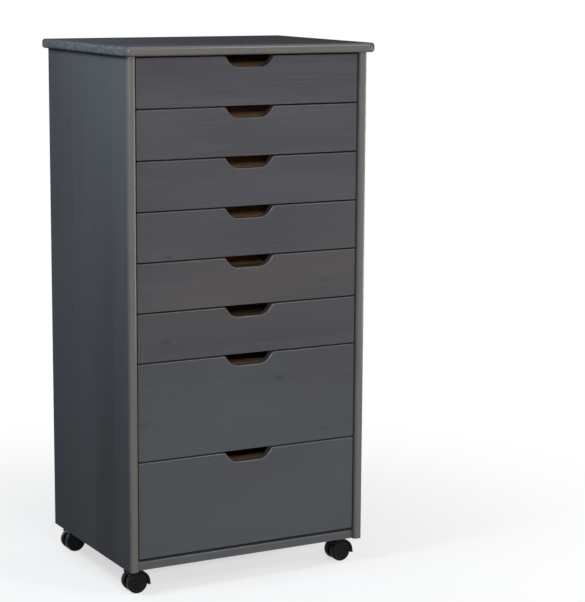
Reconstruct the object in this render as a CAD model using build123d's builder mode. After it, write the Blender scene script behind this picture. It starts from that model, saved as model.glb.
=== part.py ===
from build123d import *
import os

# A rolling drawer cart: a stained pine cabinet on four twin-wheel casters, with six shallow and two
# deep inset drawers that slide on wooden runners. Millimetres, +Z up. The front faces -Y, and the
# origin lies on the floor under the middle of the top.

# Whole cart
overall_width = 527.05
overall_depth = 389.89
overall_height = 1028.95

# Cabinet boards
top_thickness = 18.0
top_side_overhang = 12.5
top_front_overhang = 12.5
top_edge_radius = 6.0
top_corner_radius = 13.0
side_thickness = 18.0
side_edge_radius = 6.0
bottom_thickness = 17.0
bottom_recess = 8.0
bottom_edge_radius = 2.5
back_thickness = 5.0
back_rabbet = 9.0
back_clearance = 0.4
round_limit_share = 0.45

# Drawer fronts
shallow_count = 6
deep_count = 2
rows_per_deep = 2
top_gap = 3.0
front_gap = 2.5
bottom_gap = 6.0
front_side_gap = 2.0
front_recess = 4.5
front_thickness = 16.0
front_edge_bevel = 1.6
scoop_width = 101.0
scoop_depth = 20.0
scoop_end_run = 15.0
scoop_floor_radius = 26.0
scoop_mouth_radius = 4.0

# Drawer boxes
drawer_side_clearance = 2.965
drawer_side_thickness = 12.0
drawer_side_tail = 8.0
drawer_back_thickness = 12.0
drawer_bottom_thickness = 4.0
drawer_rear_clearance = 17.95
box_lift = 8.0
bottom_rise = 8.0
shallow_inner_height = 52.07
deep_inner_height = 134.62
front_housing = 6.0
back_housing = 4.0
bottom_groove_depth = 5.0
joint_clearance = 0.1

# Runners, which stand on the side panels and run in grooves of the drawer sides
runner_height = 14.0
runner_height_share = 0.55
runner_nose_bevel = 3.0
runner_groove_depth = 6.5
runner_groove_land = 30.0
runner_seat_clearance = 0.3
runner_under_clearance = 0.7
runner_side_clearance = 0.5
runner_stop_clearance = 0.5
runner_back_gap = 1.0

# Tongues that join the side panels to the top and the bottom panel to the sides
tongue_thickness = 9.0
tongue_length = 8.0
tongue_setback = 16.0

# Casters
wheel_diameter = 40.0
wheel_width = 12.4
wheel_side_clearance = 0.6
wheel_bore_clearance = 0.05
axle_diameter = 5.0
axle_end_gap = 0.5
axle_cover = 3.0
axle_wall = 3.5
hood_air = 1.0
hood_wall = 2.0
hood_offset = 1.5
hood_lip_height = 3.2
hood_lip_reach = 1.2
hood_neck_size = 15.0
hood_neck_height = 4.2
hood_closed_angle = -8.0
hood_open_angle = 132.0
web_thickness = 10.0
swivel_gap = 0.4
king_pin_diameter = 7.0
king_pin_clearance = 0.05
king_pin_axle_gap = 6.0
king_pin_hold = 14.0
king_pin_hole_clearance = 0.1
caster_trail = 4.0
caster_side_inset = 29.0
caster_front_inset = 33.0
caster_back_inset = 33.0

# Places that follow from the sizes
wheel_radius = wheel_diameter / 2
hood_radius = wheel_radius + hood_air + hood_offset + hood_wall
neck_top = wheel_radius + hood_radius + hood_neck_height
cabinet_foot = neck_top + swivel_gap
king_pin_end = wheel_radius + axle_diameter / 2 + king_pin_axle_gap
caster_width = web_thickness + 2 * (wheel_side_clearance + wheel_width)
top_underside = overall_height - top_thickness
side_outer = overall_width / 2 - top_side_overhang
side_inner = side_outer - side_thickness
side_middle = side_outer - side_thickness / 2
side_front = top_front_overhang - overall_depth / 2
side_back = overall_depth / 2
side_depth = side_back - side_front
side_height = top_underside - cabinet_foot
back_face = side_back - back_thickness
side_tongue_depth = side_depth - 2 * tongue_setback
bottom_front = side_front + bottom_recess
bottom_depth = back_face - bottom_front
bottom_tongue_depth = bottom_depth - 2 * tongue_setback
bottom_middle = (bottom_front + back_face) / 2
bottom_upper = cabinet_foot + bottom_thickness

# The drawer stack fills the space between the bottom panel and the top
rows = shallow_count + deep_count * rows_per_deep
stack_height = top_underside - top_gap - bottom_upper - bottom_gap
shallow_front_height = (stack_height - (rows - 1) * front_gap) / rows
deep_front_height = rows_per_deep * shallow_front_height + (rows_per_deep - 1) * front_gap
front_width = 2 * (side_inner - front_side_gap)
front_face = side_front + front_recess
front_rear = front_face + front_thickness
scoop_floor = scoop_width - 2 * scoop_end_run
box_half_width = side_inner - drawer_side_clearance
inner_half_width = box_half_width - drawer_side_thickness
drawer_side_middle = inner_half_width + drawer_side_thickness / 2
drawer_side_start = front_rear - front_housing + joint_clearance
drawer_side_end = back_face - drawer_rear_clearance
drawer_back_rear = drawer_side_end - drawer_side_tail
drawer_back_face = drawer_back_rear - drawer_back_thickness
groove_front = front_rear + runner_groove_land
groove_height = runner_seat_clearance + runner_height + runner_under_clearance
runner_front = groove_front + runner_stop_clearance
runner_rear = back_face - runner_back_gap
runner_thickness = drawer_side_clearance + runner_groove_depth - runner_side_clearance


# The levels of one drawer, worked out from the lower edge and height of its front
class Drawer:
    """Heights above the floor that the pieces of one drawer share."""

    def __init__(self, bottom, height, inner_height):
        self.bottom = bottom
        self.top = bottom + height
        self.height = height
        self.box_foot = bottom + box_lift
        self.sheet_foot = self.box_foot + bottom_rise
        self.sheet_top = self.sheet_foot + drawer_bottom_thickness
        self.box_top = self.sheet_top + inner_height
        self.box_height = self.box_top - self.box_foot
        self.runner_foot = self.box_foot + runner_height_share * self.box_height - runner_height / 2
        self.groove_foot = self.runner_foot - runner_under_clearance


drawers = []
next_top = top_underside - top_gap
for place in range(shallow_count + deep_count):
    deep = place >= shallow_count
    front_height = deep_front_height if deep else shallow_front_height
    inner_height = deep_inner_height if deep else shallow_inner_height
    drawers.append(Drawer(next_top - front_height, front_height, inner_height))
    next_top = next_top - front_height - front_gap

# Caster places
caster_x = side_outer - caster_side_inset
caster_front_y = bottom_front + caster_front_inset
caster_back_y = side_back - caster_back_inset
casters = {
    "front_left_caster": (-caster_x, caster_front_y),
    "front_right_caster": (caster_x, caster_front_y),
    "back_left_caster": (-caster_x, caster_back_y),
    "back_right_caster": (caster_x, caster_back_y),
}

os.makedirs("parts", exist_ok=True)


def save(piece, name):
    """Name a finished piece and write it to its own file."""
    piece.part.label = name
    export_step(piece.part, f"parts/{name}.step")


# Top panel: rounded along its front and sides, square at the back, with stopped grooves for the sides
with BuildPart() as top_panel:
    with BuildSketch(Plane.XY.offset(top_underside)) as top_outline:
        Rectangle(overall_width, overall_depth)
        fillet(top_outline.vertices().group_by(Axis.Y)[0], top_corner_radius)
    extrude(amount=top_thickness)
    upper_edges = top_panel.faces().sort_by(Axis.Z)[-1].edges().sort_by(Axis.Y)[:-1]
    lower_edges = top_panel.faces().sort_by(Axis.Z)[0].edges().sort_by(Axis.Y)[:-1]
    fillet(upper_edges + lower_edges, min(top_edge_radius, round_limit_share * top_thickness))
    with BuildSketch(Plane.XY.offset(top_underside)):
        side_centre = (side_front + side_back) / 2
        with Locations((-side_middle, side_centre), (side_middle, side_centre)):
            Rectangle(tongue_thickness + 2 * joint_clearance, side_tongue_depth + 2 * joint_clearance)
    extrude(amount=tongue_length + joint_clearance, mode=Mode.SUBTRACT)
save(top_panel, "top_panel")


# Side panels: rounded front edges, a rabbet for the back panel, a tongue above and a groove below
def side_panel(name, hand):
    """One side panel, with hand -1 for the left and 1 for the right."""
    with BuildPart() as panel:
        with BuildSketch(Plane.XY.offset(cabinet_foot)) as plan:
            with Locations((hand * side_middle, (side_front + side_back) / 2)):
                Rectangle(side_thickness, side_depth)
            front_corners = plan.vertices().group_by(Axis.Y)[0]
            fillet(front_corners, min(side_edge_radius, round_limit_share * side_thickness))
            with Locations((hand * (side_inner + back_rabbet / 2), (back_face + side_back) / 2)):
                Rectangle(back_rabbet, back_thickness, mode=Mode.SUBTRACT)
        extrude(amount=side_height)
        with BuildSketch(Plane.XY.offset(top_underside)):
            with Locations((hand * side_middle, (side_front + side_back) / 2)):
                Rectangle(tongue_thickness, side_tongue_depth)
        extrude(amount=tongue_length)
        with BuildSketch(Plane.YZ.offset(hand * side_inner)):
            with Locations((bottom_middle, cabinet_foot + bottom_thickness / 2)):
                Rectangle(bottom_tongue_depth + 2 * joint_clearance, tongue_thickness + 2 * joint_clearance)
        extrude(amount=hand * (tongue_length + joint_clearance), mode=Mode.SUBTRACT)
    save(panel, name)


side_panel("left_side_panel", -1)
side_panel("right_side_panel", 1)

# Bottom panel: its rounded front edge is the rail under the lowest drawer
with BuildPart() as bottom_panel:
    with BuildSketch(Plane.XY.offset(cabinet_foot)):
        with Locations((0, bottom_middle)):
            Rectangle(2 * side_inner, bottom_depth)
    extrude(amount=bottom_thickness)
    rail_edges = bottom_panel.faces().sort_by(Axis.Y)[0].edges().filter_by(Axis.X)
    fillet(rail_edges, min(bottom_edge_radius, round_limit_share * bottom_thickness))
    with BuildSketch(Plane.XY.offset(cabinet_foot + (bottom_thickness - tongue_thickness) / 2)):
        with Locations((0, bottom_middle)):
            Rectangle(2 * (side_inner + tongue_length), bottom_tongue_depth)
    extrude(amount=tongue_thickness)
    with BuildSketch(Plane.XY.offset(cabinet_foot)):
        with Locations(*casters.values()):
            Circle(king_pin_diameter / 2 + king_pin_hole_clearance)
    extrude(amount=king_pin_hold + king_pin_hole_clearance, mode=Mode.SUBTRACT)
save(bottom_panel, "bottom_panel")

# Back panel: a thin sheet in the rabbets
with BuildPart() as back_panel:
    with BuildSketch(Plane.XZ.offset(-side_back)):
        with Locations((0, cabinet_foot + side_height / 2)):
            Rectangle(2 * (side_inner + back_rabbet - back_clearance), side_height - 2 * back_clearance)
    extrude(amount=back_thickness)
save(back_panel, "back_panel")


# Runners: one strip for each drawer, with a bevelled nose that leads the groove on
def runners(name, hand):
    """All runners of one side panel."""
    strip_middle = hand * (side_inner - runner_thickness / 2)
    with BuildPart() as strips:
        for drawer in drawers:
            with BuildSketch(Plane.XY.offset(drawer.runner_foot)) as plan:
                with Locations((strip_middle, (runner_front + runner_rear) / 2)):
                    Rectangle(runner_thickness, runner_rear - runner_front)
                front_corners = plan.vertices().group_by(Axis.Y)[0].sort_by(Axis.X)
                chamfer(front_corners[0] if hand > 0 else front_corners[-1], runner_nose_bevel)
            extrude(amount=runner_height)
    save(strips, name)


runners("left_runners", -1)
runners("right_runners", 1)


# Drawers: a front with a finger scoop, two sides housed in the front, a back housed in the sides, and a
# thin bottom in grooves
def drawer_front(name, drawer):
    """The visible board, bevelled in front, scooped above, grooved and housed behind."""
    middle = (drawer.bottom + drawer.top) / 2
    scoop_level = drawer.top - scoop_depth
    with BuildPart() as front:
        with BuildSketch(Plane.XZ.offset(-front_rear)):
            with Locations((0, middle)):
                Rectangle(front_width, drawer.height)
        extrude(amount=front_thickness)
        chamfer(front.faces().sort_by(Axis.Y)[0].edges(), front_edge_bevel)
        with BuildSketch(Plane.XZ.offset(-front_rear)) as outline:
            with Locations((0, middle)):
                Rectangle(front_width, drawer.height)
            with BuildLine():
                Polyline(
                    (-scoop_width / 2, drawer.top),
                    (-scoop_floor / 2, scoop_level),
                    (scoop_floor / 2, scoop_level),
                    (scoop_width / 2, drawer.top),
                    close=True,
                )
            make_face(mode=Mode.SUBTRACT)
            fillet(outline.vertices().group_by(Axis.Y)[1], scoop_floor_radius)
            fillet(outline.vertices().group_by(Axis.Y)[-1].sort_by(Axis.X)[1:3], scoop_mouth_radius)
        extrude(amount=front_thickness, mode=Mode.INTERSECT)
        with BuildSketch(Plane.XZ.offset(-front_rear)):
            housing_level = (drawer.box_foot + drawer.box_top) / 2
            housing_width = drawer_side_thickness + 2 * joint_clearance
            with Locations((-drawer_side_middle, housing_level), (drawer_side_middle, housing_level)):
                Rectangle(housing_width, drawer.box_height + 2 * joint_clearance)
        extrude(amount=front_housing, mode=Mode.SUBTRACT)
        with BuildSketch(Plane.XZ.offset(-front_rear)):
            with Locations((0, (drawer.sheet_foot + drawer.sheet_top) / 2)):
                Rectangle(2 * inner_half_width, drawer_bottom_thickness + 2 * joint_clearance)
        extrude(amount=bottom_groove_depth, mode=Mode.SUBTRACT)
    save(front, name)


def drawer_sides(name, drawer):
    """Both side boards, grooved inside for the bottom and outside for the runner."""
    board_level = (drawer.box_foot + drawer.box_top) / 2
    sheet_level = (drawer.sheet_foot + drawer.sheet_top) / 2
    groove_level = drawer.groove_foot + groove_height / 2
    sheet_groove_middle = inner_half_width + bottom_groove_depth / 2
    runner_groove_middle = box_half_width - runner_groove_depth / 2
    back_board_middle = (drawer_back_face + drawer_back_rear) / 2
    left_housing = (-inner_half_width - back_housing / 2, back_board_middle)
    right_housing = (inner_half_width + back_housing / 2, back_board_middle)
    with BuildPart() as sides:
        with BuildSketch(Plane.XZ.offset(-drawer_side_end)):
            with Locations((-drawer_side_middle, board_level), (drawer_side_middle, board_level)):
                Rectangle(drawer_side_thickness, drawer.box_height)
            with Locations((-sheet_groove_middle, sheet_level), (sheet_groove_middle, sheet_level)):
                sheet_groove = drawer_bottom_thickness + 2 * joint_clearance
                Rectangle(bottom_groove_depth, sheet_groove, mode=Mode.SUBTRACT)
        extrude(amount=drawer_side_end - drawer_side_start)
        with BuildSketch(Plane.XZ.offset(-drawer_side_end)):
            with Locations((-runner_groove_middle, groove_level), (runner_groove_middle, groove_level)):
                Rectangle(runner_groove_depth, groove_height)
        extrude(amount=drawer_side_end - groove_front, mode=Mode.SUBTRACT)
        with BuildSketch(Plane.XY.offset(drawer.sheet_top)):
            with Locations(left_housing, right_housing):
                Rectangle(back_housing, drawer_back_thickness + 2 * joint_clearance)
        extrude(amount=drawer.box_height, mode=Mode.SUBTRACT)
    save(sides, name)


def drawer_back(name, drawer):
    """The rear board, which stands on the drawer's bottom."""
    with BuildPart() as back:
        with BuildSketch(Plane.XZ.offset(-drawer_back_rear)):
            with Locations((0, (drawer.sheet_top + drawer.box_top) / 2)):
                back_width = 2 * (inner_half_width + back_housing - joint_clearance)
                Rectangle(back_width, drawer.box_top - drawer.sheet_top)
        extrude(amount=drawer_back_thickness)
    save(back, name)


def drawer_bottom(name, drawer):
    """The thin bottom, from the front's groove to under the rear board."""
    sheet_front = front_rear - bottom_groove_depth + joint_clearance
    sheet_width = 2 * (inner_half_width + bottom_groove_depth - joint_clearance)
    with BuildPart() as sheet:
        with BuildSketch(Plane.XY.offset(drawer.sheet_foot)):
            with Locations((0, (sheet_front + drawer_back_rear) / 2)):
                Rectangle(sheet_width, drawer_back_rear - sheet_front)
        extrude(amount=drawer_bottom_thickness)
    save(sheet, name)


for number, drawer in enumerate(drawers, start=1):
    drawer_front(f"drawer_{number}_front", drawer)
    drawer_sides(f"drawer_{number}_sides", drawer)
    drawer_back(f"drawer_{number}_back", drawer)
    drawer_bottom(f"drawer_{number}_bottom", drawer)

# King pins, held in the bottom panel, on which the caster hoods turn
with BuildPart() as king_pins:
    with BuildSketch(Plane.XY.offset(king_pin_end)):
        with Locations(*casters.values()):
            Circle(king_pin_diameter / 2)
    extrude(amount=cabinet_foot + king_pin_hold - king_pin_end)
save(king_pins, "king_pins")


# Casters: a moulded hood whose middle web turns on the king pin and holds the axle between two wheels
def caster_hood(name, x, y):
    """A fender over both wheels on a web, thickest at its +X side, with a lip below and a neck above."""
    axle_x = x - caster_trail
    web_reach = axle_diameter / 2 + axle_wall
    web_foot = wheel_radius - web_reach
    axle_middle = (axle_x, wheel_radius)
    hood_middle = (axle_x + hood_offset, wheel_radius)
    sweep = hood_open_angle - hood_closed_angle
    closed_wall = hood_wall + 2 * hood_offset
    with BuildPart() as hood:
        with BuildSketch(Plane.XZ.offset(-y)):
            with BuildLine():
                outer = CenterArc(hood_middle, hood_radius, hood_closed_angle, sweep)
                inner = CenterArc(axle_middle, wheel_radius + hood_air, hood_closed_angle, sweep)
                Line(outer @ 0, inner @ 0)
                Line(outer @ 1, inner @ 1)
            make_face()
            with Locations(Location(inner @ 0, hood_closed_angle)):
                Rectangle(closed_wall + hood_lip_reach, hood_lip_height, align=(Align.MIN, Align.CENTER))
        extrude(amount=caster_width / 2, both=True)
        with BuildSketch(Plane.XZ.offset(-y)):
            with BuildLine():
                rim = CenterArc(hood_middle, hood_radius - hood_wall / 2, hood_closed_angle, sweep)
                web_start = (axle_x - web_reach, web_foot)
                web_end = (axle_x + web_reach, web_foot)
                Polyline(rim @ 1, web_start, web_end, rim @ 0)
            make_face()
        extrude(amount=web_thickness / 2, both=True)
        with BuildSketch(Plane.XY.offset(neck_top)):
            with Locations((x, y)):
                Rectangle(hood_neck_size, hood_neck_size)
        extrude(amount=-hood_neck_height - hood_wall)
        with BuildSketch(Plane.XY.offset(king_pin_end - swivel_gap)):
            with Locations((x, y)):
                Circle(king_pin_diameter / 2 + king_pin_clearance)
        extrude(amount=neck_top - king_pin_end + swivel_gap, mode=Mode.SUBTRACT)
        with BuildSketch(Plane.XZ.offset(-y)):
            with Locations(axle_middle):
                Circle(axle_diameter / 2)
        extrude(amount=web_thickness, both=True, mode=Mode.SUBTRACT)
    save(hood, name)


def caster_axle(name, x, y):
    """The pin through the web, into both wheels."""
    with BuildPart() as axle:
        with BuildSketch(Plane.XZ.offset(-y)):
            with Locations((x - caster_trail, wheel_radius)):
                Circle(axle_diameter / 2)
        extrude(amount=caster_width / 2 - axle_cover - axle_end_gap, both=True)
    save(axle, name)


def caster_wheel(name, x, y, hand):
    """One wheel, in front of the web for hand -1 and behind it for hand 1, closed on its outer side."""
    inner_face = y + hand * (web_thickness / 2 + wheel_side_clearance)
    centre = (x - caster_trail, inner_face, wheel_radius)
    with BuildPart() as wheel:
        with BuildSketch(Plane(origin=centre, x_dir=(1, 0, 0), z_dir=(0, hand, 0))):
            Circle(wheel_radius)
        extrude(amount=wheel_width)
        with BuildSketch(Plane(origin=centre, x_dir=(1, 0, 0), z_dir=(0, hand, 0))):
            Circle(axle_diameter / 2 + wheel_bore_clearance)
        extrude(amount=wheel_width - axle_cover, mode=Mode.SUBTRACT)
    save(wheel, name)


for caster, (x, y) in casters.items():
    caster_hood(f"{caster}_hood", x, y)
    caster_axle(f"{caster}_axle", x, y)
    caster_wheel(f"{caster}_fore_wheel", x, y, -1)
    caster_wheel(f"{caster}_aft_wheel", x, y, 1)
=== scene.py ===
# %% [markdown]
# # A rolling drawer cart
# The cart is a narrow cabinet of dark grey stained pine with eight inset drawers, on four black twin-wheel
# casters. Its solids come from a CAD model that is already measured and jointed.
# This script dresses that model: it gives each board the soft, rubbed edges of real joinery, turns and
# moulds the caster parts, mixes the finishes, and sets up a plain studio. The imported model is loaded
# first and stays where it is, so each new piece can take its place from the CAD node that it stands for.

# %% Load the imported model
import math

import bmesh
import bpy
import numpy as np
from mathutils import Matrix, Vector


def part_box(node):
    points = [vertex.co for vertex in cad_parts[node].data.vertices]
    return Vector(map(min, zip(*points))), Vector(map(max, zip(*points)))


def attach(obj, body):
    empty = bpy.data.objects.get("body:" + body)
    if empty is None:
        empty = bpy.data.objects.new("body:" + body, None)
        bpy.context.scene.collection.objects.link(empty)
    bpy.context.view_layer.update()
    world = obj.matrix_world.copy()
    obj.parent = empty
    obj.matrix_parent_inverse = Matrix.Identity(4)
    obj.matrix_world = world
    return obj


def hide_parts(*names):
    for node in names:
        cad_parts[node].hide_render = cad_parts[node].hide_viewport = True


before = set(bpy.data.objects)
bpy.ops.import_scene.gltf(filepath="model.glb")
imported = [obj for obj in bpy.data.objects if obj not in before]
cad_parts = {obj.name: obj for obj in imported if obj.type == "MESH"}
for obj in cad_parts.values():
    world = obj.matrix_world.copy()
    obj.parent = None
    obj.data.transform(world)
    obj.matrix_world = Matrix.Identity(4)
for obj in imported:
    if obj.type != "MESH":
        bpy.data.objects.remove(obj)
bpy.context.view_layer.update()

drawer_names = [f"drawer_{number}" for number in range(1, 9)]
caster_names = [f"{place}_caster" for place in ("front_left", "front_right", "back_left", "back_right")]

# %% [markdown]
# ## Writing shader maths as Python
# Every finish below is a tree of shader nodes. Trees are tedious to wire by hand, so one small class
# wraps an output socket: adding or multiplying two of them adds a Math node, and `make` adds any other
# node, with its settings first and then the values or links of its sockets. A formula in the code then
# reads like the formula it stands for.


# %% A socket that can be added and multiplied
class Value:
    """An output socket of a node tree, with the arithmetic that adds Math nodes to the tree."""

    def __init__(self, socket):
        self.socket = socket
        self.tree = socket.id_data

    def make(self, kind, settings=None, sockets=None, output=0):
        """A node of this kind: settings first, then socket values or links; gives one output."""
        node = self.tree.nodes.new(kind)
        for name, setting in (settings or {}).items():
            setattr(node, name, setting)
        for key, value in (sockets or {}).items():
            if isinstance(value, Value):
                self.tree.links.new(value.socket, node.inputs[key])
            else:
                node.inputs[key].default_value = value
        return Value(node.outputs[output])

    def math(self, operation, first, second=0.0):
        return self.make("ShaderNodeMath", {"operation": operation}, {0: first, 1: second})

    def __add__(self, other):
        return self.math("ADD", self, other)

    def __radd__(self, other):
        return self.math("ADD", other, self)

    def __sub__(self, other):
        return self.math("SUBTRACT", self, other)

    def __rsub__(self, other):
        return self.math("SUBTRACT", other, self)

    def __mul__(self, other):
        return self.math("MULTIPLY", self, other)

    def __rmul__(self, other):
        return self.math("MULTIPLY", other, self)

    def __truediv__(self, other):
        return self.math("DIVIDE", self, other)

    def __pow__(self, other):
        return self.math("POWER", self, other)


print("shader values ready")

# %% [markdown]
# ## The words that finishes are written in
# A finish asks for the same few things again and again: coordinates to begin from, noise that can be
# stretched along a grain, a blend of two colours, a soft step and a bumpy surface. Node groups could hold
# them, but a group hides its values from a reader. So each is a short function here, and gives a Value.


# %% New finishes, noise, blends, steps and relief
def start_finish(name):
    """A new material: itself, its shader node, and its Object coordinates to begin from."""
    material = bpy.data.materials.new(name)
    material.use_nodes = True
    tree = material.node_tree
    coordinates = tree.nodes.new("ShaderNodeTexCoord")
    return material, tree.nodes["Principled BSDF"], Value(coordinates.outputs["Object"])


def feed(shader, sockets):
    """Links values to the shader's sockets, or sets its constants."""
    for name, value in sockets.items():
        if isinstance(value, Value):
            value.tree.links.new(value.socket, shader.inputs[name])
        else:
            shader.inputs[name].default_value = value


def stretch(vector, scale):
    """The vector times a scale for each axis."""
    return vector.make("ShaderNodeVectorMath", {"operation": "MULTIPLY"}, {0: vector, 1: scale})


def noise(vector, scale, detail=2.0, roughness=0.5):
    """Smooth noise from 0 to 1, with its own scale for each axis."""
    sockets = {"Vector": stretch(vector, scale), "Scale": 1.0, "Detail": detail, "Roughness": roughness}
    return vector.make("ShaderNodeTexNoise", {}, sockets)


def split_axes(vector):
    """The three parts of a vector."""
    first = vector.make("ShaderNodeSeparateXYZ", {}, {0: vector})
    return [Value(socket) for socket in first.socket.node.outputs]


def blend_colours(factor, first, second):
    """The first colour where the factor is 0 and the second where it is 1."""
    settings = {"data_type": "RGBA", "clamp_factor": True}
    return factor.make("ShaderNodeMix", settings, {0: factor, 6: first, 7: second}, output=2)


def ramp(value, low, high):
    """0 below low, 1 above high, and a smooth step between."""
    settings = {"interpolation_type": "SMOOTHSTEP"}
    return value.make("ShaderNodeMapRange", settings, {0: value, 1: low, 2: high, 3: 0.0, 4: 1.0})


def attribute(start, name, output="Fac"):
    """An attribute of the piece's mesh: one number, or three with the output Vector."""
    return start.make("ShaderNodeAttribute", {"attribute_name": name}, {}, output)


def relief(height, strength, distance):
    """The normal of a surface that rises by this distance where the height is 1."""
    return height.make("ShaderNodeBump", {}, {"Strength": strength, "Distance": distance, "Height": height})


print("shader helpers ready")

# %% [markdown]
# ## The pattern of sawn pine
# A pine board is cut from a log, so its figure is the log's growth rings met by a plane: straight
# lines near the edges and long arches in the middle. It could be painted as stripes, but stripes don't
# turn into end grain at the ends of a board. So the pattern here is solid: rings are cylinders round
# a pith that lies a few centimetres under the face, bent by slow noise. Wide boards are glued from
# staves, each with its own pith and tone. The coordinates are along the grain, across it, and in depth.

# %% Growth rings, fibres, staves and knots
stave_width = 0.094
ring_spacing = 0.0046
ring_sway = 0.02
sway_scale, fibre_scale = (1.3, 7.0, 7.0), (7.0, 620.0, 620.0)
pith_scatter = 0.07
pith_depth, pith_depth_scatter = 0.022, 0.035
pith_slope = 0.012
late_wood_start, late_wood_full, late_wood_end = 0.35, 0.92, 0.95
knot_cell = 0.42
knot_cells_across = 2.4
knot_core, knot_rim = 0.012, 0.034


def pine_figure(wood):
    """Ring lines, fibres, stave tone and knots, each from 0 to 1, at the wood coordinates.

    The ring number is sqrt(across^2 + depth^2) / spacing, with across measured from the stave's pith,
    a slope along the board that draws the arches, and noise that bends the lines.
    """
    along, across, depth = split_axes(wood)
    place = across / stave_width
    stave = place.math("FLOOR", place)
    chance = stave.make("ShaderNodeTexWhiteNoise", {"noise_dimensions": "1D"}, {"W": stave})
    second = stave.make("ShaderNodeTexWhiteNoise", {"noise_dimensions": "1D"}, {"W": stave + 0.5})
    sway = noise(wood, sway_scale)
    off_pith = (place - stave - 0.5) * stave_width + (chance - 0.5) * pith_scatter
    below = depth + pith_depth + second * pith_depth_scatter + along * pith_slope
    radius = (off_pith * off_pith + below * below) ** 0.5 + (sway - 0.5) * ring_sway
    ring = radius / ring_spacing
    ring = ring - ring.math("FLOOR", ring)
    late = ramp(ring, late_wood_start, late_wood_full) * (1.0 - ramp(ring, late_wood_end, 1.0))
    fibre = noise(wood, fibre_scale, detail=3.0, roughness=0.6)
    cells = stretch(wood, (1.0 / knot_cell, knot_cells_across / knot_cell, 0.0))
    knots = {"Vector": cells, "Scale": 1.0, "Randomness": 0.9}
    distance = wood.make("ShaderNodeTexVoronoi", {"voronoi_dimensions": "2D"}, knots)
    knot = 1.0 - ramp(distance, knot_core, knot_rim)
    return late, fibre, chance, knot


print(f"staves {stave_width * 1000:.0f} mm wide, rings about {ring_spacing * 1000:.1f} mm apart")

# %% [markdown]
# ## Grey stain on pine
# The outside of the cart is pine under a translucent dark grey stain with a thin satin lacquer. The
# stain sinks deeper into the soft early wood, so the harder ring lines stay a little lighter. Where
# edges were sanded round, the stain is thin, the warm wood shows and the lacquer has a shine: that is
# the coat, whose weight follows the wear. Each board carries three attributes: `wood`, its place in
# the log, `tint`, how cool the stain looks on it, and `rub`, which is 1 on the rounded edges, 0 on the
# faces and -1 on end grain, where the stain sinks in as cool blotches.

# %% The stained outside
stain_dark = (0.044, 0.044, 0.050, 1.0)
stain_light = (0.094, 0.091, 0.101, 1.0)
stain_cool = (0.071, 0.081, 0.086, 1.0)
stain_warm = (0.088, 0.078, 0.074, 1.0)
rubbed_wood = (0.108, 0.095, 0.087, 1.0)
end_dark = (0.062, 0.065, 0.072, 1.0)
end_light = (0.110, 0.114, 0.122, 1.0)
lacquer_edges, lacquer_faces = 0.7, 0.02
lacquer_roughness = 0.2
stain_tone, stain_roughness = 0.46, 0.74
late_part, fibre_part, stave_part, cloud_part, knot_part = 0.09, 0.7, 0.2, 0.45, 0.3
late_mean = 0.35
hue_drift, hue_part = 0.8, 0.7
rub_part, patch_part, worn_part = 0.8, 0.7, 0.8
cloud_scale, hue_scale = (2.2, 9.0, 9.0), (1.7, 5.0, 5.0)
patch_scale, blotch_scale = (16.0, 90.0, 90.0), (60.0, 70.0, 260.0)
roughness_spread = 0.16
stain_relief, grain_depth = 0.10, 0.0004


def stained_pine():
    """Dark grey stain over pine figure, lighter and warmer where edges are rubbed."""
    material, shader, start = start_finish("grey_stained_pine")
    wood = attribute(start, "wood", "Vector")
    rub = attribute(start, "rub")
    late, fibre, stave, knot = pine_figure(wood)
    cloud = noise(wood, cloud_scale)
    tone = stain_tone + (late - late_mean) * late_part + (fibre - 0.5) * fibre_part
    tone = tone + (stave - 0.5) * stave_part + (cloud - 0.5) * cloud_part
    colour = blend_colours(tone - knot * knot_part, stain_dark, stain_light)
    hue = attribute(start, "tint") + (noise(wood, hue_scale, detail=1.0) - 0.5) * hue_drift
    colour = blend_colours(ramp(hue, 0.5, 0.85) * hue_part, colour, stain_cool)
    colour = blend_colours((1.0 - ramp(hue, 0.15, 0.5)) * hue_part, colour, stain_warm)
    patchy = noise(wood, patch_scale, detail=3.0)
    worn = ramp(rub * rub_part + (patchy - 0.5) * patch_part, 0.25, 0.85)
    colour = blend_colours(worn * worn_part, colour, rubbed_wood)
    blotch = noise(wood, blotch_scale, detail=3.0, roughness=0.65)
    end_grain = blend_colours(ramp(blotch, 0.32, 0.68), end_dark, end_light)
    colour = blend_colours(ramp(0.0 - rub, 0.1, 0.7), colour, end_grain)
    bump = relief(fibre * 0.8 + late * 0.2, stain_relief, grain_depth)
    roughness = stain_roughness + (fibre - 0.5) * roughness_spread
    feed(shader, {"Base Color": colour, "Roughness": roughness, "Normal": bump})
    lacquer = ramp(rub, 0.1, 0.8) * (lacquer_edges - lacquer_faces) + lacquer_faces
    feed(shader, {"Coat Weight": lacquer, "Coat Roughness": lacquer_roughness, "Specular IOR Level": 0.0})
    return material


stained = stained_pine()
print("finish:", stained.name)

# %% [markdown]
# ## Bare pine and thin sheet
# Inside, the drawers are unstained: honey-coloured pine sides and backs, and a thin sheet for the
# bottom. They show through the finger scoops and when a drawer is pulled out. The runners keep their CAD
# meshes, which have no attributes, and the sheets' grain all runs one way. These read their grain from
# Object coordinates, turned so that the first axis lies along it. The back sheet is a stained one.

# %% The unstained inside
pine_early = (0.53, 0.335, 0.185, 1.0)
pine_late = (0.385, 0.205, 0.095, 1.0)
pine_knot = (0.17, 0.075, 0.03, 1.0)
pine_tone, pine_roughness = 0.2, 0.62
pine_late_part, pine_stave_part, pine_knot_part = 0.55, 0.4, 0.85
band_scale, pore_scale = (3.0, 26.0, 26.0), (60.0, 900.0, 900.0)
band_part, pore_part = 0.6, 0.4
sheet_roughness, pore_roughness = 0.6, 0.2
pine_relief, sheet_relief, sheet_grain_depth = 0.2, 0.15, 0.0003
bare_gloss = 0.3


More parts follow.
